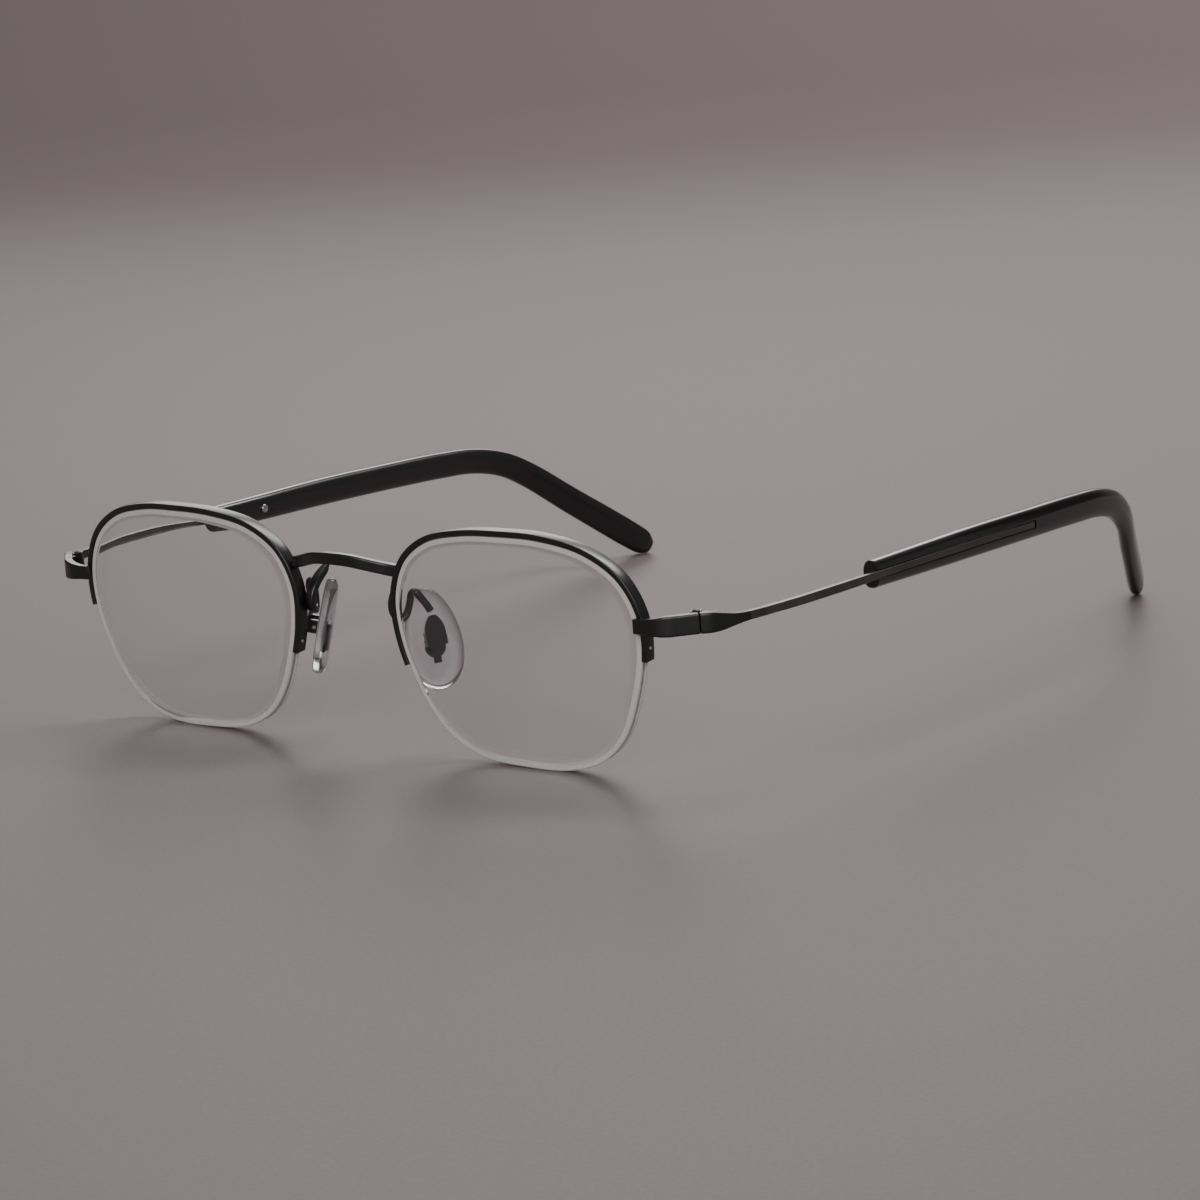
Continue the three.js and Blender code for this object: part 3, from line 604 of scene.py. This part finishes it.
def bridge():
    """An arched bar with grooves along its front and a row of fine beads along each front edge."""
    line = [(-x, y, z) for x, y, z in reversed(BRIDGE_HALF[1:])] + BRIDGE_HALF
    stations = [(x, y, z, BRIDGE_DEPTH, BRIDGE_HEIGHT) for x, y, z in line]
    section = finer(rounded_rectangle(0.45, 8), 0.035)
    length, bead, groove_pitch = 23.5, 0.42, 0.2
    sizes = np.array([BRIDGE_DEPTH, BRIDGE_HEIGHT])

    def relief(t, shape):
        out = np.zeros_like(shape)
        on_front = shape[:, 0] > 0.3
        groove = np.cos(shape[:, 1] * 2 * math.pi / groove_pitch) ** 8
        inside = (np.abs(shape[:, 1]) < 0.3) & on_front
        out[inside, 0] -= 0.05 * groove[inside]
        fade = min(1, 6 * t, 6 * (1 - t))
        beads = 0.05 * fade * abs(math.sin(math.pi * t * length / bead))
        ridge = np.exp(-((np.abs(shape[:, 1]) - 0.4) / 0.05) ** 2) * (shape[:, 0] > 0.32)
        out[:, 0] += beads * ridge
        taper = min(1, 0.6 + 14 * min(t, 1 - t))
        out += shape * sizes * (taper - 1)
        return out

    rings = loft(stations, 520, section, relief=relief)
    points, faces = skin(rings)
    obj = make_mesh("bridge_bar", place(points), faces, [MATERIALS["black_metal"]], sharp=50)
    finish_piece(obj, "front", "bridge")


def endpiece(side_name, side):
    """A swept plate: a thin collar over the rim, a raised block with an engraved line near its top."""
    section = finer(rounded_rectangle(0.26, 5), 0.03)

    def relief(t, shape):
        out = np.zeros_like(shape)
        line = np.exp(-((shape[:, 1] - 0.24) / 0.022) ** 2) * (shape[:, 0] > 0.45)
        share = min(1, max(0, (t - 0.62) * 20)) * min(1, max(0, (0.97 - t) * 30))
        out[:, 0] -= 0.07 * line * share
        collar_line = np.exp(-((shape[:, 1] - 0.38) / 0.025) ** 2) * (shape[:, 0] > 0.4)
        collar_share = min(1, max(0, (0.34 - t) * 20))
        out[:, 0] -= 0.05 * collar_line * collar_share
        return out

    rings = loft(ENDPIECE, 140, section, relief=relief)
    points, faces = skin(rings)
    obj = make_mesh(f"endpiece_plate_{side_name}", place(points, side), faces, [MATERIALS["black_metal"]],
                    sharp=45)
    broken_edges(obj, 0.07, 60)
    finish_piece(obj, "front", f"endpiece_{side_name}")


def temple(side_name, side, body):
    """A black paddle that runs down to a drawn wire with a step along its outer face."""
    section = finer(rounded_rectangle(0.3, 4), 0.05)
    steps, paddle_end = 420, 0.33

    def relief(t, shape):
        out = np.zeros_like(shape)
        wire = min(1, max(0, (t - 0.3) * 14))
        step = (shape[:, 0] > 0.4) & (shape[:, 1] > -0.33) & (shape[:, 1] < 0.36)
        out[step, 0] -= 0.13 * wire
        return out

    rings = loft(TEMPLE, steps, section, relief=relief)
    points, faces = skin(rings)
    size = len(section)
    slots = [0 if f // size < paddle_end * steps else 1 for f in range(len(faces))]
    slots[-2:] = [0, 1]  # the two end faces
    obj = make_mesh(f"temple_wire_{side_name}", place(points, side), faces,
                    [MATERIALS["black_metal"], MATERIALS["gunmetal"]], slots, 40)
    finish_piece(obj, body, f"temple_{side_name}")


def temple_tip(side_name, side, body):
    """Curved acetate tip with an open channel for the wire on its outer face."""
    section = rounded_rectangle(0.8, 10)
    rings = loft(TIP, 260, section)
    end = rings[-1]
    middle = end.mean(axis=0)
    ahead = unit(middle - rings[-3].mean(axis=0))
    rings += [middle + (end - middle) * share + ahead * push for share, push in ((0.82, 0.22), (0.5, 0.36))]
    points, faces = skin(rings)
    obj = make_mesh(f"acetate_tip_{side_name}", place(points, side), faces, [MATERIALS["acetate"]])
    inlaid = [s for s in TEMPLE if s[1] >= INLAY_FROM]
    inlaid.append((inlaid[-1][0], CHANNEL_END, inlaid[-1][2], 0, 0))
    across, height = CHANNEL_OPEN + 0.9 + 2 * CHANNEL_SPARE, 1.15 + 2 * CHANNEL_SPARE
    groove = loft([(x + CHANNEL_OPEN / 2, y, z, across, height) for x, y, z, _, _ in inlaid], 60,
                  rounded_rectangle(0.05, 1))
    groove_points, groove_faces = skin(groove)
    cut(obj, make_mesh("channel", place(groove_points, side), groove_faces, []))
    broken_edges(obj, 0.12, 50)
    finish_piece(obj, body, f"temple_tip_{side_name}")


def rivet(side_name, side, body):
    """A polished ring rivet on the inner face of the tip."""
    x = TIP[1][0] - TIP[1][3] / 2
    rim_height = GAP + RIVET_HEIGHT
    profile = [(0, rim_height - 0.14), (0.18, rim_height - 0.14), (0.26, rim_height - 0.05),
               (0.34, rim_height), (0.6, rim_height), (0.71, rim_height - 0.05),
               (RIVET_HEAD, rim_height - 0.14), (RIVET_HEAD, GAP),
               (RIVET_SHAFT, GAP), (RIVET_SHAFT, -0.6), (0, -0.6)]
    points, faces = lathe(profile)
    turned = points[:, [2, 0, 1]] * np.array([-1, 1, 1]) + np.array([x, RIVET_Y, TIP[1][2]])
    obj = make_mesh(f"ring_rivet_{side_name}", place(turned, side), faces, [MATERIALS["steel"]], sharp=50)
    finish_piece(obj, body, f"temple_rivet_{side_name}")


def hinge_screw(side_name, side):
    """A low slotted head on the hinge's upright axis, with its shaft through the knuckles."""
    top, low, shaft, head = 1.66, 1.75, 0.34, 0.62
    profile = [(0, low + 0.1), (head - 0.16, low + 0.1), (head, low), (head, top),
               (shaft, top), (shaft, -top), (0, -top)]
    points, faces = lathe(profile, 32)
    matrix = Matrix.Translation(HINGE_CENTRE) @ Matrix.Rotation(TILT, 4, "X")
    obj = make_mesh(f"hinge_pin_{side_name}", place(points, side, matrix), faces, [MATERIALS["black_metal"]])
    slot_tool = tube_along(((-1, 0, low + 0.1), (1, 0, low + 0.1)), 0.09, "slot", side, matrix, 12)
    cut(obj, slot_tool)
    finish_piece(obj, "front", f"hinge_screw_{side_name}")


# ---- Nose pads ----

def pad_matrix():
    """Pad axes: across, out to the nose, up."""
    down = PAD_DOWN.normalized()
    plan = Vector((math.sin(PAD_SPLAY), math.cos(PAD_SPLAY), 0))
    across = (plan - down * plan.dot(down)).normalized()
    rise = -down
    nose = rise.cross(across)
    matrix = Matrix((across, nose, rise)).transposed().to_4x4()
    matrix.translation = PAD_CENTRE
    return matrix


def pad_arm(side_name, side):
    """A bent wire from the rim's back to the pad box."""
    rings = loft(PAD_ARM, 220, rounded_rectangle(0.6, 5), up=(1, 0, 0))
    points, faces = skin(rings)
    obj = make_mesh(f"pad_arm_wire_{side_name}", place(points, side), faces, [MATERIALS["black_metal"]])
    finish_piece(obj, "front", f"pad_arm_{side_name}")


def nose_pad(side_name, side, body):
    """A soft egg-shaped pad with a rolled edge and a faint rim round its nose side."""
    around = 96
    layers = [(-0.5, 2.2), (-0.5, 1.2), (-0.49, 0.8), (-0.45, 0.42), (-0.36, 0.16), (-0.22, 0.03), (-0.05, 0),
              (0.1, 0.04), (0.22, 0.2), (0.33, 0.5), (0.41, 0.95), (0.46, 1.5), (0.49, 2.1), (0.5, 2.7)]
    rings = []
    for depth, inset in layers:
        ring = []
        for i in range(around):
            a = 2 * math.pi * i / around
            half = (PAD_WIDTH / 2) * (1 - PAD_NARROWING * math.sin(a)) - inset
            ring.append((half * math.cos(a), depth * PAD_THICKNESS, (PAD_HEIGHT / 2 - inset) * math.sin(a)))
        rings.append(ring)
    points, faces = skin(rings)
    obj = make_mesh(f"clear_pad_{side_name}", place(points, side, pad_matrix()), faces,
                    [MATERIALS["silicone"]], sharp=70)
    finish_piece(obj, body, f"nose_pad_{side_name}")


def carried_hardware():
    """Small machined pieces keep their CAD shape, with broken edges and their own material."""
    finishes = {"hinge_front": "black_metal", "hinge_rear": "black_metal",
                "pad_box": "black_metal", "pad_insert": "black_metal", "pad_screw": "steel"}
    for stem, material in finishes.items():
        for side_name in SIDES:
            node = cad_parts[f"{stem}_{side_name}"]
            node.data.materials.clear()
            node.data.materials.append(MATERIALS[material])
            broken_edges(node, 0.05, 40)


# ---- Stage ----

def build_stage():
    """A pale table that sweeps up into a backdrop well behind the glasses."""
    behind, sideways = np.array([-0.616, 0.788, 0]), np.array([0.788, 0.616, 0])
    start, radius, top, half_wide = 1.5, 0.9, 3.0, 6.0
    profile = [(-3.0, 0.0)]
    for k in range(25):
        a = math.pi / 2 * k / 24
        profile.append((start + radius * math.sin(a), radius * (1 - math.cos(a))))
    profile.append((start + radius, top))
    points = [behind * d + sideways * w + np.array([0, 0, z])
              for d, z in profile for w in (-half_wide, half_wide)]
    faces = [(2 * i, 2 * i + 1, 2 * i + 3, 2 * i + 2) for i in range(len(profile) - 1)]
    data = bpy.data.meshes.new("table_top")
    data.from_pydata([tuple(p) for p in points], [], faces)
    data.materials.append(table_top())
    data.polygons.foreach_set("use_smooth", [True] * len(faces))
    floor = bpy.data.objects.new("table_top", data)
    bpy.context.scene.collection.objects.link(floor)


def area_light(name, location, target, size, power, colour=(1, 1, 1), spread=180):
    data = bpy.data.lights.new(name, "AREA")
    data.shape = "RECTANGLE"
    data.size, data.size_y = size
    data.energy = power
    data.color = colour
    data.spread = math.radians(spread)
    light = bpy.data.objects.new(name, data)
    light.location = location
    light.rotation_mode = "QUATERNION"
    light.rotation_quaternion = (Vector(target) - Vector(location)).to_track_quat("-Z", "Y")
    bpy.context.scene.collection.objects.link(light)


def lights():
    centre = (0, 0, 0.01)
    behind = Vector((-0.616, 0.788, 0))
    area_light("overhead_softbox", (-0.1, 0.3, 0.95), centre, (1.3, 1.0), 1.5, (1, 0.965, 0.955))
    area_light("back_softbox", behind * 1.3 + Vector((0, 0, 0.62)), centre, (2.0, 0.7), 1.1,
               (1, 0.96, 0.95), 50)
    area_light("front_fill", (0.65, -0.95, 0.6), (0.1, -0.2, 0), (0.9, 0.9), 6.5, (1, 0.97, 0.96))
    area_light("backdrop_light", behind * 0.9 + Vector((0.6, 0.5, 1.8)), behind * 2 + Vector((0.6, 0.4, 0)),
               (1.6, 1.0), 42.0, (1, 0.965, 0.96))
    world = bpy.data.worlds.new("studio")
    world.use_nodes = True
    world.node_tree.nodes["Background"].inputs["Color"].default_value = (0.37, 0.345, 0.355, 1)
    world.node_tree.nodes["Background"].inputs["Strength"].default_value = 0.45
    bpy.context.scene.world = world


def camera():
    """Eye level just above the table, from the wearer's left, long lens, slightly rolled."""
    target = (np.array([7.0, 57.65, 13.9]) + ROW_SHIFT) * MM
    azimuth = math.radians(38.372)
    elevation = math.radians(11.355)
    roll = math.radians(-3.522)
    distance = 0.62131
    back = Vector((math.sin(azimuth) * math.cos(elevation), -math.cos(azimuth) * math.cos(elevation),
                   math.sin(elevation)))
    right = Vector((math.cos(azimuth), math.sin(azimuth), 0))
    up = back.cross(right)
    across = right * math.cos(roll) + up * math.sin(roll)
    rise = up * math.cos(roll) - right * math.sin(roll)
    data = bpy.data.cameras.new("camera")
    data.lens, data.sensor_width = 111.4, 36
    data.clip_start, data.clip_end = 0.01, 50
    cam = bpy.data.objects.new("camera", data)
    pose = Matrix((across, rise, back)).transposed().to_4x4()
    pose.translation = Vector(target) + back * distance
    cam.matrix_world = pose
    bpy.context.scene.collection.objects.link(cam)
    bpy.context.scene.camera = cam


def build():
    bridge()
    for side_name, side in SIDES.items():
        lens(side_name, side)
        rim(side_name, side)
        liner(side_name, side)
        nylon_cord(side_name, side)
        endpiece(side_name, side)
        arm = f"temple_{side_name}_arm"
        temple(side_name, side, arm)
        temple_tip(side_name, side, arm)
        rivet(side_name, side, arm)
        hinge_screw(side_name, side)
        pad_arm(side_name, side)
        nose_pad(side_name, side, f"nose_pad_{side_name}_rocker")
    carried_hardware()


build()
build_stage()
lights()
camera()
